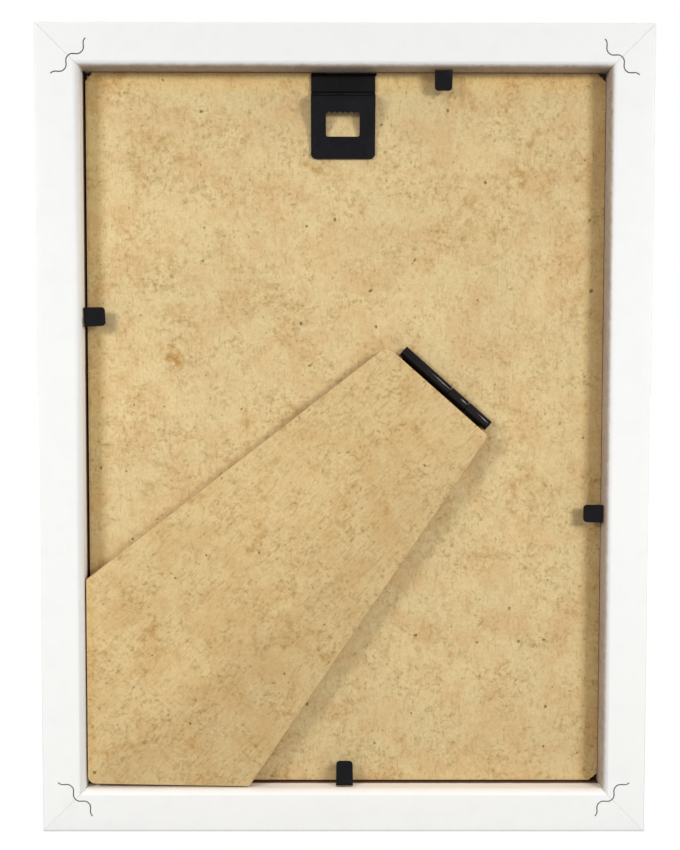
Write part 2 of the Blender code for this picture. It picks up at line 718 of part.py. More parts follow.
def round_end(mesh, near_y, thickness):
    """Rounds the long edges of a strip's end that lies on a joint axis."""
    work = bmesh.new()
    work.from_mesh(mesh)
    rim = []
    for edge in work.edges:
        first, second = (vertex.co for vertex in edge.verts)
        on_end = abs(first.y - near_y) < SAME_PLACE and abs(second.y - near_y) < SAME_PLACE
        if on_end and abs(first.z - second.z) < SAME_PLACE:
            rim.append(edge)
    width = thickness / 2 * END_ROUNDNESS
    bmesh.ops.bevel(work, geom=rim, offset=width, segments=END_SEGMENTS, profile=0.5, affect="EDGES")
    work.to_mesh(mesh)
    work.free()
    clean(mesh)


def make_hanger_plate():
    """A bent strip, cut to the plate's outline as it looks from behind."""
    place = (HANGER_U, FOLD_V, 0.0)
    strip = extruded("hanger_plate", [plate_profile()], HANGER_WIDTH + 2 * CUT_MARGIN)
    plate = add_part("hanger_plate", strip, BLACK_STEEL, back, place, rail_turn("bottom"))
    height = 2 * (RIDGE_HEIGHT + CUT_MARGIN)
    outline = extruded("hanger_outline", [plate_outline(), nail_hole()], height)
    combine(plate, add_cutter("hanger_outline", outline, back, place), "INTERSECT")


def make_tab(side, rail):
    """One tab: its root, the slot for it in the rail, and the blade that bends."""
    tab = TABS[side]
    turn = (0.0, 0.0, SIDE_TURNS[side] + tab["tilt"])
    height = TAB_OVER_BOARD + TAB_THICKNESS / 2
    wall = side_place(side, tab["along"], 0.0, height)
    half_width = tab["width"] / 2
    root_corners = [
        (-half_width, 0.0),
        (-half_width, TAB_ROOT_CHAMFER - TAB_ROOT_LENGTH),
        (TAB_ROOT_CHAMFER - half_width, -TAB_ROOT_LENGTH),
        (half_width - TAB_ROOT_CHAMFER, -TAB_ROOT_LENGTH),
        (half_width, TAB_ROOT_CHAMFER - TAB_ROOT_LENGTH),
        (half_width, 0.0),
    ]
    root = extruded(f"tab_{side}_root", [root_corners], TAB_THICKNESS)
    add_part(root.name, root, BLACK_STEEL, back, wall, turn)
    slot_half = half_width + TAB_CLEARANCE
    slot_thickness = TAB_THICKNESS / 2 + TAB_CLEARANCE
    slot = (
        (-slot_half, slot_half),
        (-TAB_ROOT_LENGTH - TAB_CLEARANCE, CUT_MARGIN),
        (-slot_thickness, slot_thickness),
    )
    slot_name = f"tab_{side}_slot"
    combine(rail, add_cutter(slot_name, boxes(slot_name, [slot]), back, wall, turn), "DIFFERENCE")
    inner_end = -TAB_THICKNESS / 2
    tip = (tab["reach"] - TAB_AXIS_FROM_WALL) / cos(TAB_SLOPE)
    tip_half = half_width - TAB_TIP_NARROWING
    blade_corners = [
        (-half_width, inner_end),
        (half_width, inner_end),
        (tip_half, tip),
        (-tip_half, tip),
    ]
    blade_outline = rounded(blade_corners, [0, 0, TAB_TIP_RADIUS, TAB_TIP_RADIUS])
    blade = extruded(f"tab_{side}_blade", [blade_outline], TAB_THICKNESS)
    round_end(blade, inner_end, TAB_THICKNESS)
    inward = Matrix.Rotation(turn[2], 3, "Z") @ Vector((0.0, TAB_AXIS_FROM_WALL, 0.0))
    add_part(blade.name, blade, BLACK_STEEL, back, wall + inward, (-TAB_SLOPE, 0.0, turn[2]))


clear_scene()
parts = new_collection("mdf_picture_frame")
cutters = new_collection("cutters")
board_rear_y = BOARD_REAR_DEPTH - FRAME_DEPTH / 2
back = add_empty("back_of_frame", None, (0.0, board_rear_y, FRAME_HEIGHT / 2), (pi / 2, 0.0, pi))
rails_by_side = make_moulding()
make_glass()
make_sheet()
backboard = make_board()
leg_axis = make_hinge(backboard)
make_leg(leg_axis)
make_clip(backboard)
make_hanger_plate()
for tab_side, tab_rail in rails_by_side.items():
    make_tab(tab_side, tab_rail)
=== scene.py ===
from math import radians

import bmesh
import bpy
from mathutils import Matrix, Vector


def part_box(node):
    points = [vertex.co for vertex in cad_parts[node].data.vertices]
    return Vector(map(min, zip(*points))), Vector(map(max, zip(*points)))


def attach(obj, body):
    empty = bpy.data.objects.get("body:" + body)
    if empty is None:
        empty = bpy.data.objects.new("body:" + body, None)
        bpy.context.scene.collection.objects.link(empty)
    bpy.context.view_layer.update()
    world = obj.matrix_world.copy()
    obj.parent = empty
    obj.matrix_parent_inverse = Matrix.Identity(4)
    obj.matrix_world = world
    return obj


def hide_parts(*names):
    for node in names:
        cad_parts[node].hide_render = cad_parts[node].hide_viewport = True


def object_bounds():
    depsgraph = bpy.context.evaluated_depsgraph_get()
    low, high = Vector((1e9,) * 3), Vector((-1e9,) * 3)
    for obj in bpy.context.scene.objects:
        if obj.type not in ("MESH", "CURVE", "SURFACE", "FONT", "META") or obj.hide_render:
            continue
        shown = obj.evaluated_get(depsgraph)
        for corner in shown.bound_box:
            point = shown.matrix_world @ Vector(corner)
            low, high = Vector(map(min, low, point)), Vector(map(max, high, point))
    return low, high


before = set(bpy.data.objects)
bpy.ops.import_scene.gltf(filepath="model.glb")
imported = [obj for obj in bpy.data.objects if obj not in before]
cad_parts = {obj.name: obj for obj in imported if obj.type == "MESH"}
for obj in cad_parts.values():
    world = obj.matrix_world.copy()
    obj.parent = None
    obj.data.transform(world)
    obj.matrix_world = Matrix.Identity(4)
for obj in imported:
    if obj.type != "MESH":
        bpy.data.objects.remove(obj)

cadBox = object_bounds()
print("frame loaded:", len(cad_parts), "nodes")

# lengths are in metres; seen from behind, +X points to the left
mm = 0.001
middle = (cadBox[0] + cadBox[1]) / 2
halfWide = cadBox[1].x
halfTall = (cadBox[1].z - cadBox[0].z) / 2
backPlane = cadBox[1].y
frontPlane = cadBox[0].y
railWidth = 11 * mm
wallX = halfWide - railWidth   # the recess walls, measured from the middle
wallZ = halfTall - railWidth
tolerance = 0.01 * mm


def near(first, second):
    return abs(first - second) < tolerance


# working in object and edit mode

def deselectAll():
    if bpy.context.mode != "OBJECT":
        bpy.ops.object.mode_set(mode="OBJECT")
    bpy.ops.object.select_all(action="DESELECT")


def pick(piece):
    deselectAll()
    piece.select_set(True)
    bpy.context.view_layer.objects.active = piece


def editPiece(piece):
    pick(piece)
    bpy.ops.object.mode_set(mode="EDIT")
    bpy.ops.mesh.select_mode(type="FACE")
    bpy.ops.mesh.select_all(action="DESELECT")


def leaveEdit():
    bpy.ops.object.mode_set(mode="OBJECT")


def selectFaces(piece, test):
    bpy.ops.mesh.select_mode(type="FACE")
    bpy.ops.mesh.select_all(action="DESELECT")
    work = bmesh.from_edit_mesh(piece.data)
    for face in work.faces:
        face.select_set(test(face.calc_center_median(), face.normal))
    bmesh.update_edit_mesh(piece.data)


def selectEdges(piece, test):
    bpy.ops.mesh.select_mode(type="EDGE")
    bpy.ops.mesh.select_all(action="DESELECT")
    work = bmesh.from_edit_mesh(piece.data)
    for edge in work.edges:
        edge.select_set(test(edge.verts[0].co, edge.verts[1].co))
    bmesh.update_edit_mesh(piece.data)


def smooth(piece, degrees=40):
    pick(piece)
    bpy.ops.object.shade_smooth_by_angle(angle=radians(degrees))


def applyModifier(piece, kind, **settings):
    pick(piece)
    bpy.ops.object.modifier_add(type=kind)
    modifier = piece.modifiers[-1]
    for name, value in settings.items():
        setattr(modifier, name, value)
    bpy.ops.object.modifier_apply(modifier=modifier.name)


def softenEdges(piece, width, segments=2, degrees=30):
    applyModifier(piece, "BEVEL", width=width, segments=segments, limit_method="ANGLE",
                  angle_limit=radians(degrees), use_clamp_overlap=True)


copySettings = {
    "mergeGap": 0.001 * mm,  # points nearer than this become one
    "flatAngle": 0.6,        # degrees, below which neighbouring triangles become one face
}


def copyNode(nodeName, pieceName):
    # a node's mesh is loose triangles, so its copy is merged into clean faces
    piece = bpy.data.objects.new(pieceName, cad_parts[nodeName].data.copy())
    bpy.context.collection.objects.link(piece)
    piece.data.materials.clear()
    pick(piece)
    bpy.ops.mesh.customdata_custom_splitnormals_clear()
    bpy.ops.object.mode_set(mode="EDIT")
    bpy.ops.mesh.select_all(action="SELECT")
    bpy.ops.mesh.remove_doubles(threshold=copySettings["mergeGap"])
    bpy.ops.mesh.dissolve_limited(angle_limit=radians(copySettings["flatAngle"]))
    bpy.ops.mesh.normals_make_consistent(inside=False)
    leaveEdit()
    return piece


def turnedCopy(piece, name, degrees):
    # a copy with its own mesh, turned round the middle of the frame
    twin = bpy.data.objects.new(name, piece.data.copy())
    bpy.context.collection.objects.link(twin)
    turn = Matrix.Rotation(radians(degrees), 4, "Y")
    twin.data.transform(Matrix.Translation(middle) @ turn @ Matrix.Translation(-middle))
    return twin


def finishPiece(piece, body, slotName, *nodeNames):
    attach(piece, body)
    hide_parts(*nodeNames)


# shader building

def paintTone(red, green, blue):
    # a colour as read on screen, turned into the linear one that shaders use
    def linear(value):
        share = value / 255
        return share / 12.92 if share <= 0.04045 else ((share + 0.055) / 1.055) ** 2.4
    return (linear(red), linear(green), linear(blue), 1.0)


class Shader:
    # a node tree that is filled from left to right
    def __init__(self, tree):
        self.tree = tree
        self.column = 0

    def add(self, kind, inputs=None, **settings):
        node = self.tree.nodes.new(kind)
        node.location = (self.column * 190, 0)
        self.column += 1
        for name, value in settings.items():
            setattr(node, name, value)
        for name, value in (inputs or {}).items():
            self.feed(node.inputs[name], value)
        return node

    def feed(self, socket, value):
        if isinstance(value, bpy.types.NodeSocket):
            self.tree.links.new(value, socket)
        else:
            socket.default_value = value

    def noise(self, vector, scale, detail=2.0, roughness=0.5, distortion=0.0):
        node = self.add("ShaderNodeTexNoise", {
            "Vector": vector, "Scale": scale, "Detail": detail,
            "Roughness": roughness, "Distortion": distortion})
        return node.outputs["Fac"]

    def span(self, value, low, high, start=0.0, end=1.0):
        # smooth step of a value between two levels
        node = self.add("ShaderNodeMapRange", {
            "Value": value, "From Min": low, "From Max": high, "To Min": start, "To Max": end},
            interpolation_type="SMOOTHSTEP")
        return node.outputs["Result"]

    def math(self, operation, first, second=0.0, clamp=False):
        node = self.add("ShaderNodeMath", operation=operation, use_clamp=clamp)
        self.feed(node.inputs[0], first)
        self.feed(node.inputs[1], second)
        return node.outputs[0]

    def mix(self, share, first, second, blend="MIX"):
        node = self.add("ShaderNodeMix", data_type="RGBA", blend_type=blend)
        self.feed(node.inputs[0], share)
        self.feed(node.inputs[6], first)
        self.feed(node.inputs[7], second)
        return node.outputs[2]

    def bump(self, height, strength, distance):
        node = self.add("ShaderNodeBump", {"Height": height, "Strength": strength, "Distance": distance})
        return node.outputs["Normal"]

    def place(self, offset=(0, 0, 0), turn=(0, 0, 0)):
        here = self.add("ShaderNodeTexCoord").outputs["Object"]
        return self.move(here, offset, turn)

    def move(self, vector, offset=(0, 0, 0), turn=(0, 0, 0), stretch=(1, 1, 1)):
        node = self.add("ShaderNodeMapping", {
            "Vector": vector, "Location": offset, "Rotation": turn, "Scale": stretch})
        return node.outputs["Vector"]

    def group(self, tree, inputs):
        node = self.add("ShaderNodeGroup", node_tree=tree)
        for name, value in inputs.items():
            self.feed(node.inputs[name], value)
        return node


def startGroup(name, inputs, outputs):
    group = bpy.data.node_groups.new(name, "ShaderNodeTree")
    for label, kind, value in inputs:
        socket = group.interface.new_socket(name=label, in_out="INPUT", socket_type=kind)
        if value is not None:
            socket.default_value = value
    for label, kind in outputs:
        group.interface.new_socket(name=label, in_out="OUTPUT", socket_type=kind)
    shader = Shader(group)
    entry = shader.add("NodeGroupInput").outputs
    return group, shader, entry


def endGroup(shader, results):
    last = shader.add("NodeGroupOutput")
    for name, value in results.items():
        shader.feed(last.inputs[name], value)


outputColumn = 4200  # where the last node of a material stands in the node editor


def startMaterial(name, shaderInputs):
    material = bpy.data.materials.new(name)
    material.use_nodes = True
    tree = material.node_tree
    tree.nodes.clear()
    shader = Shader(tree)
    surface = shader.add("ShaderNodeBsdfPrincipled", shaderInputs)
    output = shader.add("ShaderNodeOutputMaterial", {"Surface": surface.outputs["BSDF"]})
    output.location = (outputColumn, 0)
    surface.location = (outputColumn - 300, 0)
    return material, shader, surface


# each noise is scale, detail, roughness and distortion; each span is the two levels it runs between
fibreLook = {
    "cloud": (34, 2, 0.5),
    "cloudSpan": (0.3, 0.7),
    "cloudShade": (0.96, 1.02),
    "patch": (120, 4, 0.62, 0.5),
    "patchSpan": (0.42, 0.66),
    "clump": (125, 4, 0.6, 0.4),
    "clumpSpan": (0.38, 0.64),
    "clumpLeast": 0.22,
    "fine": (470, 3, 0.62, 0.4),
    "fineSpan": (0.42, 0.72),
    "fineShare": 0.55,
    "dots": (980, 2, 0.5, 0.3),
    "dotsSpan": (0.50, 0.72),
    "dotsShare": 0.70,
    "fleckShare": 0.72,
    "grit": (1900, 2, 0.6),
    "gritSpan": (0.25, 0.75),
    "gritShade": (0.93, 1.05),
    "strokes": [(25, 0.0), (-38, 1.7), (82, 3.1)],  # angle and seed of each direction of fibres
    "stroke": (1500, 1, 0.5, 0.4),
    "strokeSpan": (0.63, 0.76),
    "strokeLength": 0.22,                           # the smaller, the longer
    "strokeShare": 0.30,
    "stain": (74, 5, 0.66, 0.6),
    "stainSpan": (0.54, 0.74),
    "stainBreaks": (0.35, 0.68),                    # the levels of the fine noise that break it up
    "stainLeast": 0.25,
    "specks": [(112, 0.060, 0.64, 1.0), (290, 0.115, 0.70, 0.5)],  # cells per metre, size, gaps, depth
    "speckEdge": (-0.2, 0.5),                       # where a speck starts and is full, by its size
    "speckWobble": 1.6 * mm,
    "speckShare": 0.72,
    "relief": {"fine": 0.55, "grit": 0.25, "fibres": 0.25, "specks": 0.35},
    "bump": (0.5, 0.12 * mm),                       # strength and distance
    "roughSpan": (0.3, 0.7),
    "roughness": (0.72, 0.86),
    "specular": 0.25,
}


def makeFibreGroup():
    # pressed wood fibre: warm patches, fine flecks, short fibres, brown stains and dark specks
    look = fibreLook
    color, number = "NodeSocketColor", "NodeSocketFloat"
    group, shader, entry = startGroup("pressedFibre", [
        ("Vector", "NodeSocketVector", None),
        ("Pale", color, paintTone(226, 202, 151)),
        ("Warm", color, paintTone(219, 187, 135)),
        ("Brown", color, paintTone(168, 133, 74)),
        ("Stain", color, paintTone(184, 138, 70)),
        ("Speck", color, paintTone(84, 52, 16)),
        ("Mottling", number, 1.0),
        ("Stains", number, 1.0),
        ("Specks", number, 1.0)],
        [("Color", color), ("Height", number), ("Roughness", number)])
    here = entry["Vector"]

    cloud = shader.noise(here, *look["cloud"])
    patch = shader.noise(here, *look["patch"])
    clump = shader.noise(shader.move(here, (0.4, 0.7, 0.2)), *look["clump"])
    fine = shader.noise(here, *look["fine"])
    dots = shader.noise(shader.move(here, (0.9, 0.1, 0.6)), *look["dots"])
    grit = shader.noise(here, *look["grit"])
    warm = shader.math("MULTIPLY", shader.span(patch, *look["patchSpan"]), entry["Mottling"], clamp=True)
    tone = shader.mix(warm, entry["Pale"], entry["Warm"])

    # flecks darken without a change of hue, and lie in clumps
    clumped = shader.span(clump, *look["clumpSpan"], look["clumpLeast"], 1.0)
    larger = shader.math("MULTIPLY", shader.span(fine, *look["fineSpan"]), look["fineShare"])
    smaller = shader.math("MULTIPLY", shader.span(dots, *look["dotsSpan"]), look["dotsShare"])
    fleck = shader.math("MULTIPLY", shader.math("ADD", larger, smaller), clumped)
    fleck = shader.math("MULTIPLY", fleck, entry["Mottling"], clamp=True)
    tone = shader.mix(shader.math("MULTIPLY", fleck, look["fleckShare"]), tone, entry["Brown"])
    shade = shader.span(cloud, *look["cloudSpan"], *look["cloudShade"])

    # short fibres that lie in three directions
    fibres = None
    for angle, seed in look["strokes"]:
        lain = shader.move(here, (seed, 0, seed), (0, radians(angle), 0), (1.0, 1.0, look["strokeLength"]))
        stroke = shader.span(shader.noise(lain, *look["stroke"]), *look["strokeSpan"])
        fibres = stroke if fibres is None else shader.math("MAXIMUM", fibres, stroke)
    tone = shader.mix(shader.math("MULTIPLY", fibres, look["strokeShare"]), tone, entry["Brown"])

    stain = shader.span(shader.noise(here, *look["stain"]), *look["stainSpan"])
    broken = shader.span(fine, *look["stainBreaks"], look["stainLeast"], 1.0)
    stain = shader.math("MULTIPLY", stain, broken)
    stain = shader.math("MULTIPLY", stain, entry["Stains"], clamp=True)
    tone = shader.mix(stain, tone, entry["Stain"])

    # specks lie on the sheet's own face, so the cells are laid out flat in X and Z
    split = shader.add("ShaderNodeSeparateXYZ", {"Vector": here}).outputs
    wobble = shader.math("MULTIPLY", shader.math("SUBTRACT", fine, 0.5), look["speckWobble"])
    flat = shader.add("ShaderNodeCombineXYZ", {
        "X": shader.math("ADD", split["X"], wobble),
        "Y": shader.math("SUBTRACT", split["Z"], wobble)}).outputs[0]
    start, full = look["speckEdge"]
    specks = None
    for cells, size, gaps, depth in look["specks"]:
        cell = shader.add("ShaderNodeTexVoronoi", {"Vector": flat, "Scale": cells}, voronoi_dimensions="2D")
        parts = shader.add("ShaderNodeSeparateColor", {"Color": cell.outputs["Color"]}).outputs
        radius = shader.math("MULTIPLY", parts["Green"], size)
        dot = shader.math("SUBTRACT", radius, cell.outputs["Distance"])
        dot = shader.span(dot, size * start, size * full, 0.0, depth)
        dot = shader.math("MULTIPLY", dot, shader.math("GREATER_THAN", parts["Red"], gaps))
        specks = dot if specks is None else shader.math("MAXIMUM", specks, dot)
    specks = shader.math("MULTIPLY", specks, entry["Specks"])
    tone = shader.mix(shader.math("MULTIPLY", specks, look["speckShare"]), tone, entry["Speck"])

    light = shader.math("MULTIPLY", shader.span(grit, *look["gritSpan"], *look["gritShade"]), shade)
    grey = shader.add("ShaderNodeCombineColor", {"Red": light, "Green": light, "Blue": light})
    tone = shader.mix(1.0, tone, grey.outputs[0], "MULTIPLY")

    relief = look["relief"]
    raised = [shader.math("MULTIPLY", layer, relief[name])
              for name, layer in (("fine", fine), ("grit", grit), ("fibres", fibres))]
    height = shader.math("ADD", shader.math("ADD", raised[0], raised[1]), raised[2])
    height = shader.math("SUBTRACT", height, shader.math("MULTIPLY", specks, relief["specks"]))
    roughness = shader.span(fine, *look["roughSpan"], *look["roughness"])
    endGroup(shader, {"Color": tone, "Height": height, "Roughness": roughness})
    return group


wearLook = {
    "smudge": (170, 4, 0.6, 0.4),
    "smudgeSpan": (0.42, 0.75),
    "scratches": [(17, 0.3), (-61, 2.2)],  # angle and seed of each direction
    "scratch": (3800, 0, 0.5),
    "scratchSpan": (0.80, 0.86),
    "scratchLength": 0.05,                 # the smaller, the longer
    "lumps": (2, 0.55),                    # detail and roughness
}


def makeWearGroup():
    # what handling leaves on a hard surface: faint smudges, fine scratches and a lumpy coat
    look = wearLook
    number = "NodeSocketFloat"
    group, shader, entry = startGroup("handledCoat", [
        ("Vector", "NodeSocketVector", None),
        ("Lumps", number, 1400.0)],
        [("Smudges", number), ("Scratches", number), ("Height", number)])
    here = entry["Vector"]
    smudges = shader.span(shader.noise(here, *look["smudge"]), *look["smudgeSpan"])
    scratches = None
    for angle, seed in look["scratches"]:
        lain = shader.move(here, (seed, seed, 0), (0, radians(angle), 0), (1.0, 1.0, look["scratchLength"]))
        line = shader.span(shader.noise(lain, *look["scratch"]), *look["scratchSpan"])
        scratches = line if scratches is None else shader.math("MAXIMUM", scratches, line)
    height = shader.noise(here, entry["Lumps"], *look["lumps"])
    endGroup(shader, {"Smudges": smudges, "Scratches": scratches, "Height": height})
    return group


borderFade = (0.6, 1.2)  # where the border ends, as shares of its width
spotFade = (0.2, 1.0)    # and where a spot fades, as shares of its radius


def makeBorderGroup():
    # a mask that follows the two side walls and, with Upper at 1, the top wall of the recess; it places the
    # painted wall shade
    number = "NodeSocketFloat"
    group, shader, entry = startGroup("wallBorder", [
        ("Vector", "NodeSocketVector", None),
        ("Width", number, 5.0 * mm),
        ("Upper", number, 1.0)],
        [("Mask", number)])
    split = shader.add("ShaderNodeSeparateXYZ", {"Vector": entry["Vector"]}).outputs
    across = shader.math("SUBTRACT", wallX, shader.math("ABSOLUTE", split["X"]))
    upright = shader.math("SUBTRACT", middle.z + wallZ, split["Z"])
    away = shader.math("SUBTRACT", 1.0, entry["Upper"])
    inward = shader.math("MINIMUM", across, shader.math("ADD", upright, away))
    inward = shader.math("DIVIDE", inward, entry["Width"])
    endGroup(shader, {"Mask": shader.span(inward, *borderFade, 1.0, 0.0)})
    return group


def makeSpotGroup():
    # a round mask that fades out from Middle to Radius, the same at any depth of the sheet
    number = "NodeSocketFloat"
    group, shader, entry = startGroup("softSpot", [
        ("Vector", "NodeSocketVector", None),
        ("Middle", "NodeSocketVector", None),
        ("Radius", number, 8.0 * mm)],
        [("Mask", number)])
    flat = shader.move(entry["Vector"], stretch=(1, 0, 1))
    away = shader.add("ShaderNodeVectorMath", {0: flat, 1: entry["Middle"]}, operation="DISTANCE")
    share = shader.math("DIVIDE", away.outputs["Value"], entry["Radius"])
    endGroup(shader, {"Mask": shader.span(share, *spotFade, 1.0, 0.0)})
    return group


fibreGroup = makeFibreGroup()
wearGroup = makeWearGroup()
borderGroup = makeBorderGroup()
spotGroup = makeSpotGroup()

fibreTones = {
    "board": {"Pale": paintTone(224, 200, 148), "Stains": 0.8},
    "leg": {"Pale": paintTone(219, 192, 139), "Warm": paintTone(213, 180, 125),
            "Brown": paintTone(160, 124, 66), "Stains": 0.8},
    "edge": {"Pale": paintTone(188, 152, 98), "Warm": paintTone(180, 142, 88),
             "Brown": paintTone(140, 100, 56), "Stains": 0.9, "Specks": 0.3},
}

# the strip along the recess walls is painted shade: a browner tint on the board and a darker one on the
# leg, where the walls' shadows fall
# stainSpots are X and Z of the stronger brown stains in mm, with the radius of each
boardStainsAndShade = {
    "wallShade": {"tone": (1.05, 1.0, 0.88, 1.0), "width": 5.2 * mm, "upper": 1.0},
    "stainSpots": [(57, 153, 7), (42, 121, 9), (18, 143, 6), (-42, 156, 8), (-52, 100, 7), (-30, 40, 9)],
}
legStainsAndShade = {
    "wallShade": {"tone": (0.97, 0.93, 0.85, 1.0), "width": 2.6 * mm, "upper": 0.0},
    "stainSpots": [(6, 92, 8), (36, 84, 7), (20, 72, 6), (52, 20, 9), (30, 17, 8)],
}
spotStrength = 2.3
# painted shade under the hanger's fold, seen through its two slots
slotShadeLook = {
    "tone": paintTone(26, 22, 20),
    "middle": (0.5 * mm, 187.6 * mm),
    "half": (7.9 * mm, 0.75 * mm),
    "soft": 0.15 * mm,
}


def addWallShade(shader, tone, wallShade):
    # painted shade: the strip along the recess walls is tinted as if it lay in the walls' shadow
    mask = shader.group(borderGroup, {
        "Vector": shader.place(), "Width": wallShade["width"], "Upper": wallShade["upper"]})
    tint = shader.mix(mask.outputs["Mask"], (1, 1, 1, 1), wallShade["tone"])
    return shader.mix(1.0, tone, tint, "MULTIPLY")


def addSlotShade(shader, tone):
    # painted shade: a black line on the board, which shows through the two slots of the hanger's fold where
    # the board lies in shade under the plate
    split = shader.add("ShaderNodeSeparateXYZ", {"Vector": shader.place()}).outputs
    line = None
    for axis, centre, half in zip("XZ", slotShadeLook["middle"], slotShadeLook["half"]):
        away = shader.math("ABSOLUTE", shader.math("SUBTRACT", split[axis], centre))
        inside = shader.span(away, half - slotShadeLook["soft"], half, 1.0, 0.0)
        line = inside if line is None else shader.math("MULTIPLY", line, inside)
    return shader.mix(line, tone, slotShadeLook["tone"])


def gatherStains(shader, spots, usual):
    # how strong the stains are: usual all over, and stronger round each spot
    here = shader.place()
    nearby = None
    for across, up, radius in spots:
        spot = shader.group(spotGroup, {
            "Vector": here, "Middle": (across * mm, 0, up * mm), "Radius": radius * mm}).outputs["Mask"]
        nearby = spot if nearby is None else shader.math("MAXIMUM", nearby, spot)
    return shader.math("ADD", shader.math("MULTIPLY", nearby, spotStrength), usual)


def makeFibreMaterial(name, tones, offset, turn, stainsAndShade=None, slotShadeStep=None):
    material, shader, surface = startMaterial(name, {"Specular IOR Level": fibreLook["specular"]})
    here = shader.place(offset, (0, radians(turn), 0))
    values = dict(tones, Vector=here)
    if stainsAndShade:
        values["Stains"] = gatherStains(shader, stainsAndShade["stainSpots"], tones["Stains"])
    fibre = shader.group(fibreGroup, values)
    tone = fibre.outputs["Color"]
    if stainsAndShade:
        tone = addWallShade(shader, tone, stainsAndShade["wallShade"])
    if slotShadeStep:
        tone = slotShadeStep(shader, tone)
    shader.feed(surface.inputs["Base Color"], tone)
    shader.feed(surface.inputs["Roughness"], fibre.outputs["Roughness"])
    shader.feed(surface.inputs["Normal"], shader.bump(fibre.outputs["Height"], *fibreLook["bump"]))
    return material


boardMaterial = makeFibreMaterial(
    "boardFibre", fibreTones["board"], (0.31, 0, 0.12), 0, boardStainsAndShade, addSlotShade)
legMaterial = makeFibreMaterial("legFibre", fibreTones["leg"], (0.87, 0.4, 0.55), 43, legStainsAndShade)
cutEdgeMaterial = makeFibreMaterial("sawnFibre", fibreTones["edge"], (0.1, 0.2, 0.7), 0)

railSizes = {
    "width": railWidth,
    "lip": 5 * mm,                    # how far the front lip covers the glass
    "lipDepth": 4 * mm,
    "frontRound": (1.2 * mm, 6),      # radius and segments
    "backOuterRound": (0.6 * mm, 5),
    "backInnerRound": (1.6 * mm, 9),
    "jointGroove": 0.08 * mm,
    "slotRoom": 0.07 * mm,            # how much wider a fastener's slot is than its strip, on each side
    "slotReach": 0.2 * mm,            # the end of the cutter that is moved out through the back
    "slotRunOut": 0.5 * mm,
    "slotNear": 2 * mm,               # a fastener's middle lies this near to the rails that it joins
}

paintLook = {
    "paint": paintTone(246, 246, 244),
    "wall": {"Pale": paintTone(176, 160, 147), "Warm": paintTone(170, 152, 137),
             "Brown": paintTone(138, 121, 104), "Stains": 0.2, "Specks": 0.3},
    # painted shade: the dark brown foot of the left and bottom walls, where they meet the board
    "footShade": paintTone(98, 66, 46),
    "shadedFoot": (0.5 * mm, 1.3 * mm),       # height of the dark foot of the two painted recess walls
    "coveredSpan": (0.1 * mm, 1.1 * mm),    # distance out from the recess wall over which paint covers
    "wallFade": (-0.4 * mm, -0.1 * mm),     # how one wall's mask ends at the recess corners
    # painted light: a warm, slightly darker off-white on the bottom wall, standing in for warm bounce light
    # from the board
    "bounceTone": paintTone(241, 235, 226),  # on the bottom wall and its rounded edge
    "bounceSpan": (0.3 * mm, 1.6 * mm),       # distance out from that wall over which this painted bounce light fades out
    "ragged": 0.5 * mm,                     # how far the paint's edge wanders
    "raggedNoise": (420, 4, 0.65, 0.3),
    "frontRoom": 0.05 * mm,                 # how far past the lip the front's full paint reaches
    "handled": paintTone(239, 239, 238),
    "handledShare": 0.35,
    "joint": paintTone(208, 206, 200),      # the line along each mitre
    "jointShare": 0.6,
    "jointWidth": 0.15 * mm,
    "jointDepth": 1.5,
    "lumps": 900.0,
    "specular": 0.35,
    "roughness": (0.42, 0.52),
    "bump": (0.25, 0.05 * mm),
}


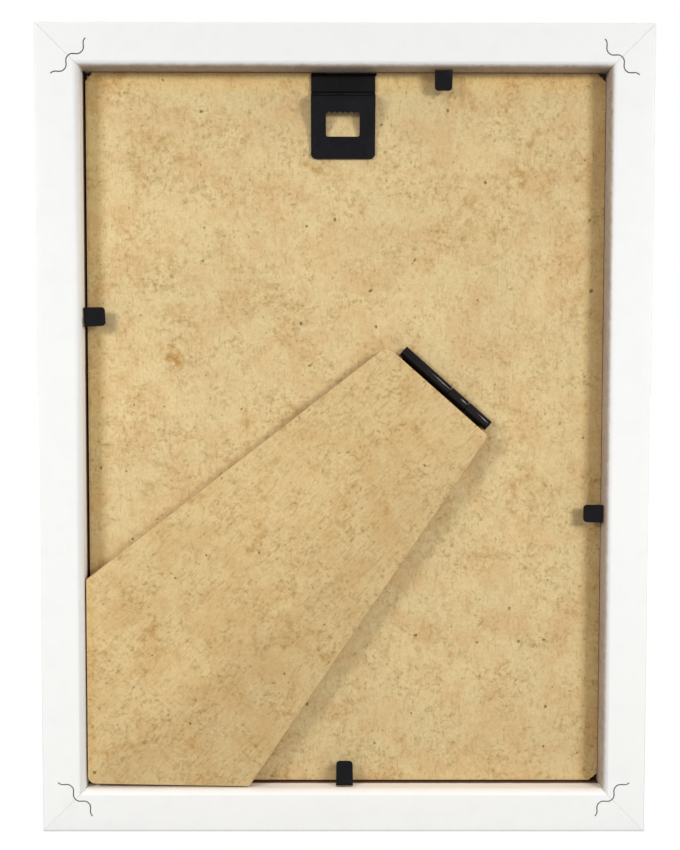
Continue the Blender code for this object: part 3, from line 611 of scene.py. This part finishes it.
def makePaintMaterial():
    # white paint that thins out over the rounded inner edge and leaves the recess walls bare; the foot of
    # the left and bottom walls is painted shade, and the bottom wall carries painted warm bounce light
    look = paintLook
    material, shader, surface = startMaterial("whitePaint", {"Specular IOR Level": look["specular"]})
    here = shader.place()
    split = shader.add("ShaderNodeSeparateXYZ", {"Vector": here}).outputs
    upward = shader.math("SUBTRACT", split["Z"], middle.z)
    side = shader.math("SUBTRACT", shader.math("ABSOLUTE", split["X"]), wallX)
    upright = shader.math("SUBTRACT", shader.math("ABSOLUTE", upward), wallZ)
    outward = shader.math("MAXIMUM", side, upright)
    ragged = shader.noise(here, *look["raggedNoise"])
    ragged = shader.math("MULTIPLY", shader.math("SUBTRACT", ragged, 0.5), look["ragged"])
    covered = shader.span(shader.math("ADD", outward, ragged), *look["coveredSpan"])

    # the spray came from one side, so only the left and bottom walls took the paint
    toLeft = shader.math("SUBTRACT", split["X"], wallX)
    toBottom = shader.math("SUBTRACT", shader.math("MULTIPLY", upward, -1.0), wallZ)
    sprayed = shader.math("SUBTRACT", shader.math("MAXIMUM", toLeft, toBottom), outward)
    sprayed = shader.span(sprayed, *look["wallFade"])
    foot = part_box("backboard")[1][1]
    low, high = look["shadedFoot"]
    mist = shader.span(shader.math("ADD", split["Y"], ragged), foot + low, foot + high)
    covered = shader.math("MAXIMUM", covered, shader.math("MULTIPLY", mist, sprayed))
    lipBack = frontPlane + railSizes["lipDepth"] + look["frontRoom"]
    front = shader.math("LESS_THAN", split["Y"], lipBack)
    covered = shader.math("MAXIMUM", covered, front)
    bare = shader.group(fibreGroup, dict(look["wall"], Vector=here))
    worn = shader.group(wearGroup, {"Vector": here, "Lumps": look["lumps"]})
    # on the left and bottom walls the unpainted foot takes the painted shade
    wall = shader.mix(sprayed, bare.outputs["Color"], look["footShade"])
    handled = shader.math("MULTIPLY", worn.outputs["Smudges"], look["handledShare"])
    paint = shader.mix(handled, look["paint"], look["handled"])
    # painted warm bounce light on the bottom wall and its rounded edge, fading out from that wall
    below = shader.span(shader.math("SUBTRACT", toBottom, outward), *look["wallFade"])
    bounced = shader.math("MULTIPLY", below, shader.span(outward, *look["bounceSpan"], 1.0, 0.0))
    bounced = shader.math("SUBTRACT", bounced, front, clamp=True)
    paint = shader.mix(bounced, paint, look["bounceTone"])
    joint = shader.math("ABSOLUTE", shader.math("SUBTRACT", side, upright))
    joint = shader.span(joint, 0.0, look["jointWidth"], 1.0, 0.0)
    paint = shader.mix(shader.math("MULTIPLY", joint, look["jointShare"]), paint, look["joint"])
    shader.feed(surface.inputs["Base Color"], shader.mix(covered, wall, paint))
    satin = shader.span(worn.outputs["Smudges"], 0.0, 1.0, *look["roughness"])
    rough = shader.add("ShaderNodeMix", {
        0: covered, 2: bare.outputs["Roughness"], 3: satin}, data_type="FLOAT")
    shader.feed(surface.inputs["Roughness"], rough.outputs[0])
    groove = shader.math("MULTIPLY", joint, look["jointDepth"])
    skin = shader.math("SUBTRACT", worn.outputs["Height"], groove)
    shader.feed(surface.inputs["Normal"], shader.bump(skin, *look["bump"]))
    return material


steelLooks = {
    "blackSteel": {"base": paintTone(18, 17, 20), "worn": paintTone(36, 35, 39), "metallic": 0.0,
                   "roughness": (0.24, 0.40), "specular": 0.09, "lumps": 1100.0},
    "hingeSteel": {"base": paintTone(15, 12, 13), "worn": paintTone(36, 30, 31), "metallic": 0.0,
                   "roughness": (0.10, 0.24), "specular": 0.15, "lumps": 900.0},
    "dullBlackSteel": {"base": paintTone(16, 14, 14), "worn": paintTone(31, 29, 30), "metallic": 0.0,
                       "roughness": (0.38, 0.55), "specular": 0.08, "lumps": 1500.0},
    "greySteel": {"base": paintTone(70, 70, 69), "worn": paintTone(46, 45, 43), "metallic": 0.3,
                  "roughness": (0.45, 0.65), "specular": 0.3, "lumps": 2400.0},
}


steelWear = {
    "smudgeShare": 0.25,
    "scratchShare": 0.6,
    "bump": (0.3, 0.04 * mm),
}


def makeSteelMaterial(name):
    look = steelLooks[name]
    material, shader, surface = startMaterial(name, {
        "Metallic": look["metallic"], "Specular IOR Level": look["specular"]})
    here = shader.place()
    worn = shader.group(wearGroup, {"Vector": here, "Lumps": look["lumps"]}).outputs
    marks = shader.math("MULTIPLY", worn["Smudges"], steelWear["smudgeShare"])
    scratches = shader.math("MULTIPLY", worn["Scratches"], steelWear["scratchShare"])
    marks = shader.math("ADD", marks, scratches, clamp=True)
    shader.feed(surface.inputs["Base Color"], shader.mix(marks, look["base"], look["worn"]))
    shader.feed(surface.inputs["Roughness"], shader.span(worn["Smudges"], 0.0, 1.0, *look["roughness"]))
    shader.feed(surface.inputs["Normal"], shader.bump(worn["Height"], *steelWear["bump"]))
    return material


glassLook = {
    "tone": paintTone(253, 255, 254),
    "refraction": 1.5,
    "smudgeSpan": (0.2, 1.0),
    "roughness": (0.0, 0.035),
    "lumps": 60.0,
}


def makeGlassMaterial():
    look = glassLook
    material, shader, surface = startMaterial("clearGlass", {
        "Base Color": look["tone"], "Transmission Weight": 1.0, "IOR": look["refraction"]})
    worn = shader.group(wearGroup, {"Vector": shader.place(), "Lumps": look["lumps"]}).outputs
    haze = shader.span(worn["Smudges"], *look["smudgeSpan"], *look["roughness"])
    shader.feed(surface.inputs["Roughness"], haze)
    return material


paperLook = {
    "pale": paintTone(243, 242, 238),
    "shaded": paintTone(240, 239, 235),
    "cloud": (240, 4, 0.6),
    "cloudSpan": (0.35, 0.7),
    "tooth": (3200, 2, 0.6),
    "bump": (0.3, 0.03 * mm),
    "specular": 0.2,
    "roughness": 0.9,
    "edgeRound": 0.05 * mm,
}


def makePaperMaterial():
    look = paperLook
    material, shader, surface = startMaterial("blankPaper", {
        "Specular IOR Level": look["specular"], "Roughness": look["roughness"]})
    here = shader.place()
    cloud = shader.noise(here, *look["cloud"])
    tooth = shader.noise(here, *look["tooth"])
    shader.feed(surface.inputs["Base Color"], shader.mix(
        shader.span(cloud, *look["cloudSpan"]), look["pale"], look["shaded"]))
    shader.feed(surface.inputs["Normal"], shader.bump(tooth, *look["bump"]))
    return material


paintMaterial = makePaintMaterial()
blackMaterial = makeSteelMaterial("blackSteel")
hingeMaterial = makeSteelMaterial("hingeSteel")
dullBlackMaterial = makeSteelMaterial("dullBlackSteel")
greyMaterial = makeSteelMaterial("greySteel")
print("materials made")


# corner fasteners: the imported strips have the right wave, so only their finish is added

fastenerNodes = ["corner_fastener_1", "corner_fastener_2", "corner_fastener_3", "corner_fastener_4"]
for nodeName in fastenerNodes:
    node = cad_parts[nodeName]
    node.data.materials.clear()
    node.data.materials.append(greyMaterial)
print("corner fasteners finished")


# rails

def modelRail(name, halfRun, halfAcross):
    # modelled under the middle of the frame, lying along X, then turned to its side by turnedCopy
    sizes = railSizes
    outer = middle.z - halfAcross
    wall = outer + sizes["width"]
    sight = wall + sizes["lip"]
    lipBack = frontPlane + sizes["lipDepth"]

    deselectAll()
    bpy.ops.mesh.primitive_cube_add(
        size=1, location=(0, (frontPlane + lipBack) / 2, (outer + sight) / 2),
        scale=(halfRun * 2, sizes["lipDepth"], sight - outer))
    rail = bpy.context.object
    rail.name = name
    bpy.ops.object.transform_apply(location=True, rotation=True, scale=True)

    editPiece(rail)
    bpy.ops.mesh.select_all(action="SELECT")
    bpy.ops.mesh.bisect(plane_co=(0, 0, wall), plane_no=(0, 0, 1))
    selectFaces(rail, lambda centre, normal: normal.y > 0.9 and centre.z < wall)
    bpy.ops.mesh.extrude_region_move(TRANSFORM_OT_translate={"value": (0, backPlane - lipBack, 0)})

    rounds = [
        (frontPlane, outer, sizes["frontRound"]), (frontPlane, sight, sizes["frontRound"]),
        (backPlane, outer, sizes["backOuterRound"]), (backPlane, wall, sizes["backInnerRound"])]
    for depth, height, (radius, segments) in rounds:
        selectEdges(rail, lambda a, b: near(a.y, depth) and near(b.y, depth)
                    and near(a.z, height) and near(b.z, height))
        bpy.ops.mesh.bevel(offset=radius, segments=segments, profile=0.5, affect="EDGES")

    for side in (-1, 1):
        bpy.ops.mesh.select_all(action="SELECT")
        bpy.ops.mesh.bisect(plane_co=(side * halfRun, 0, outer), plane_no=(side, 0, 1),
                            use_fill=True, clear_outer=True)

    def onMitre(point):
        return near(abs(point.x) + point.z, halfRun + outer)
    selectEdges(rail, lambda a, b: onMitre(a) and onMitre(b))
    bpy.ops.mesh.bevel(offset=sizes["jointGroove"], segments=1, affect="EDGES")
    leaveEdit()
    return rail


def makeSlotCutter(nodeName):
    # the strip's own shape, a little fatter, and run out through the rail's back
    cutter = copyNode(nodeName, nodeName + "_cutter")
    editPiece(cutter)
    bpy.ops.mesh.select_all(action="SELECT")
    bpy.ops.transform.shrink_fatten(value=-railSizes["slotRoom"])
    leaveEdit()
    reach = max(vertex.co.y for vertex in cutter.data.vertices)
    for vertex in cutter.data.vertices:
        if vertex.co.y > reach - railSizes["slotReach"]:
            vertex.co.y += railSizes["slotRunOut"]
    return cutter


def reaches(cutter, nodeName):
    # whether a fastener's middle lies in the rail's box, or just beside it
    low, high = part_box(nodeName)
    centre = sum((Vector(corner) for corner in cutter.bound_box), Vector()) / 8
    room = railSizes["slotNear"]
    return all(low[axis] - room < centre[axis] < high[axis] + room for axis in (0, 2))


cutters = [makeSlotCutter(nodeName) for nodeName in fastenerNodes]

shortRail = modelRail("bottomRail", halfWide, halfTall)
longRail = modelRail("longRail", halfTall, halfWide)
rails = {
    "rail_bottom": shortRail,
    "rail_top": turnedCopy(shortRail, "topRail", 180),
    "rail_left": turnedCopy(longRail, "leftRail", -90),
    "rail_right": turnedCopy(longRail, "rightRail", 90),
}
bpy.data.objects.remove(longRail)
for nodeName, rail in rails.items():
    inReach = [cutter for cutter in cutters if reaches(cutter, nodeName)]
    for cutter in inReach:
        applyModifier(rail, "BOOLEAN", object=cutter, operation="DIFFERENCE", solver="EXACT")
    rail.data.materials.append(paintMaterial)
    smooth(rail)
    finishPiece(rail, "frame", "white_paint", nodeName)
    print(rail.name, "modelled with", len(inReach), "fastener slots")
for cutter in cutters:
    bpy.data.objects.remove(cutter)


# backboard and easel leg

boardLook = {
    "edgeRound": 0.15 * mm,
    "legEdgeRound": 0.25 * mm,
    "shift": Vector((-0.2 * mm, 0, 0.2 * mm)),
}


def shiftBoardEdges(piece):
    # the board lies up against the top wall and, seen from behind, the right wall
    editPiece(piece)
    for axis in (0, 2):
        way = Vector()
        way[axis] = boardLook["shift"][axis]
        selectFaces(piece, lambda centre, normal: abs(normal[axis]) > 0.99)
        bpy.ops.transform.translate(value=way)
    leaveEdit()


def makeSheetPiece(nodeName, pieceName, body, faceMaterial, edgeRound, shape=None):
    piece = copyNode(nodeName, pieceName)
    if shape:
        shape(piece)
    softenEdges(piece, edgeRound)
    piece.data.materials.append(faceMaterial)
    piece.data.materials.append(cutEdgeMaterial)
    for face in piece.data.polygons:
        face.material_index = 0 if abs(face.normal.y) > 0.5 else 1
    smooth(piece)
    finishPiece(piece, body, "bare_mdf", nodeName)
    return piece


backboard = makeSheetPiece("backboard", "backboardPanel", "frame", boardMaterial, boardLook["edgeRound"],
                           shiftBoardEdges)
leg = makeSheetPiece("leg", "easelLeg", "easel_leg", legMaterial, boardLook["legEdgeRound"])
print("backboard and leg finished")


# steel parts

steelRounds = {"hinge": 0.08 * mm, "sheet": 0.06 * mm}
steelPieces = {
    "hinge_fixed_leaf": ("hingeFixedLeaf", "frame", hingeMaterial, "hinge"),
    "hinge_moving_leaf": ("hingeMovingLeaf", "easel_leg", hingeMaterial, "hinge"),
    "hinge_pin": ("hingePin", "frame", hingeMaterial, "hinge"),
    "hanger_clip": ("hangerClip", "frame", dullBlackMaterial, "sheet"),
    "hanger_plate": ("hangerPlate", "hanger", blackMaterial, "sheet"),
}
for side in ("bottom", "right", "top", "left"):
    steelPieces[f"tab_{side}_root"] = (f"{side}TabRoot", "frame", blackMaterial, "sheet")
    steelPieces[f"tab_{side}_blade"] = (f"{side}TabBlade", f"tab_{side}", blackMaterial, "sheet")

for nodeName, (pieceName, body, material, kind) in steelPieces.items():
    piece = copyNode(nodeName, pieceName)
    softenEdges(piece, steelRounds[kind])
    piece.data.materials.append(material)
    smooth(piece)
    finishPiece(piece, body, "black_steel", nodeName)
print("steel parts finished:", len(steelPieces))


# glass and blank sheet

def makePane():
    pane = copyNode("glass", "glassPane")
    pane.data.materials.append(makeGlassMaterial())
    smooth(pane)
    finishPiece(pane, "frame", "clear_glass", "glass")


def makePaper():
    sheet = copyNode("picture_sheet", "pictureSheet")
    softenEdges(sheet, paperLook["edgeRound"], 1)
    sheet.data.materials.append(makePaperMaterial())
    finishPiece(sheet, "frame", "white_paper", "picture_sheet")


makePane()
makePaper()
print("glass and sheet finished")


# floor, light and camera

studio = {
    "floorSize": 8.0,
    "floorDrop": 0.1 * mm,           # below the object's foot
    "floorTone": (0.42, 0.42, 0.42, 1.0),
    "floorGlow": (0.62, 1.0),        # beside the object, and far from it
    "floorGlowReach": (0.10, 0.45),
    "ambient": 0.465,
    "keyLamps": [((0.415, 0.362, 0.318), 0.51), ((-0.410, 0.382, 0.285), 0.495)],  # place and power
    "keyAim": (0.0, 0.0, 0.0),
    "keySpread": 100,
    "keySize": 0.13,
    "frontPlace": (0.25, -1.1, 0.75),
    "frontSize": 0.7,
    "frontPower": 10.0,
}


def makeFloor():
    deselectAll()
    bpy.ops.mesh.primitive_plane_add(size=studio["floorSize"], location=(0, 0, -studio["floorDrop"]))
    floor = bpy.context.object
    floor.name = "floor"
    bpy.ops.object.transform_apply(location=True, rotation=True, scale=True)
    material = bpy.data.materials.new("paleFloor")
    material.use_nodes = True
    tree = material.node_tree
    tree.nodes.clear()
    shader = Shader(tree)
    matte = shader.add("ShaderNodeBsdfDiffuse", {"Color": studio["floorTone"]})
    path = shader.add("ShaderNodeLightPath").outputs
    seen = shader.math("MAXIMUM", path["Is Camera Ray"], path["Is Glossy Ray"])
    seen = shader.math("MAXIMUM", seen, path["Is Transmission Ray"])
    away = shader.add("ShaderNodeVectorMath", {"Vector": shader.place()}, operation="LENGTH")
    strength = shader.span(away.outputs["Value"], *studio["floorGlowReach"], *studio["floorGlow"])
    glow = shader.add("ShaderNodeEmission", {
        "Color": (1, 1, 1, 1), "Strength": shader.math("MULTIPLY", seen, strength)})
    both = shader.add("ShaderNodeAddShader")
    shader.feed(both.inputs[0], matte.outputs[0])
    shader.feed(both.inputs[1], glow.outputs[0])
    shader.add("ShaderNodeOutputMaterial", {"Surface": both.outputs[0]})
    floor.data.materials.append(material)


def makeWorld():
    world = bpy.data.worlds.new("studio")
    bpy.context.scene.world = world
    world.use_nodes = True
    world.node_tree.nodes.clear()
    shader = Shader(world.node_tree)
    path = shader.add("ShaderNodeLightPath").outputs
    seen = shader.math("MAXIMUM", path["Is Camera Ray"], path["Is Glossy Ray"])
    seen = shader.math("MAXIMUM", seen, path["Is Transmission Ray"])
    soft = shader.add("ShaderNodeBackground", {"Color": (1, 1, 1, 1), "Strength": studio["ambient"]})
    white = shader.add("ShaderNodeBackground", {"Color": (1, 1, 1, 1), "Strength": 1.0})
    choice = shader.add("ShaderNodeMixShader", {"Fac": seen})
    shader.feed(choice.inputs[1], soft.outputs[0])
    shader.feed(choice.inputs[2], white.outputs[0])
    shader.add("ShaderNodeOutputWorld", {"Surface": choice.outputs[0]})


def addLamp(name, place, aim, size, power, spread=180):
    data = bpy.data.lights.new(name, "AREA")
    data.shape = "SQUARE"
    data.size = size
    data.energy = power
    data.spread = radians(spread)
    lamp = bpy.data.objects.new(name, data)
    bpy.context.collection.objects.link(lamp)
    lamp.location = place
    lamp.rotation_mode = "QUATERNION"
    lamp.rotation_quaternion = (Vector(aim) - Vector(place)).to_track_quat("-Z", "Y")
    lamp.visible_camera = False


makeFloor()
makeWorld()
for number, (place, power) in enumerate(studio["keyLamps"]):
    addLamp(f"keyLamp{number + 1}", place, studio["keyAim"], studio["keySize"], power, studio["keySpread"])
addLamp("frontLamp", studio["frontPlace"], middle, studio["frontSize"], studio["frontPower"])

cameraLook = {
    "place": (2.39 * mm, 303.74 * mm, 119.78 * mm),
    "tilt": 87.0,
    "heading": 179.765,
    "roll": 0.093,
    "lens": 50.0,
    "sensor": 36.0,
    "clipStart": 10 * mm,
}


def makeCamera():
    look = cameraLook
    data = bpy.data.cameras.new("photoCamera")
    data.lens = look["lens"]
    data.sensor_width = look["sensor"]
    data.clip_start = look["clipStart"]
    camera = bpy.data.objects.new("photoCamera", data)
    bpy.context.collection.objects.link(camera)
    heading = Matrix.Rotation(radians(look["heading"]), 4, "Z")
    tilt = Matrix.Rotation(radians(look["tilt"]), 4, "X")
    roll = Matrix.Rotation(radians(look["roll"]), 4, "Z")
    camera.matrix_world = Matrix.Translation(look["place"]) @ heading @ tilt @ roll
    bpy.context.scene.camera = camera


makeCamera()
bpy.context.scene.view_settings.view_transform = "Standard"
print("studio and camera set")
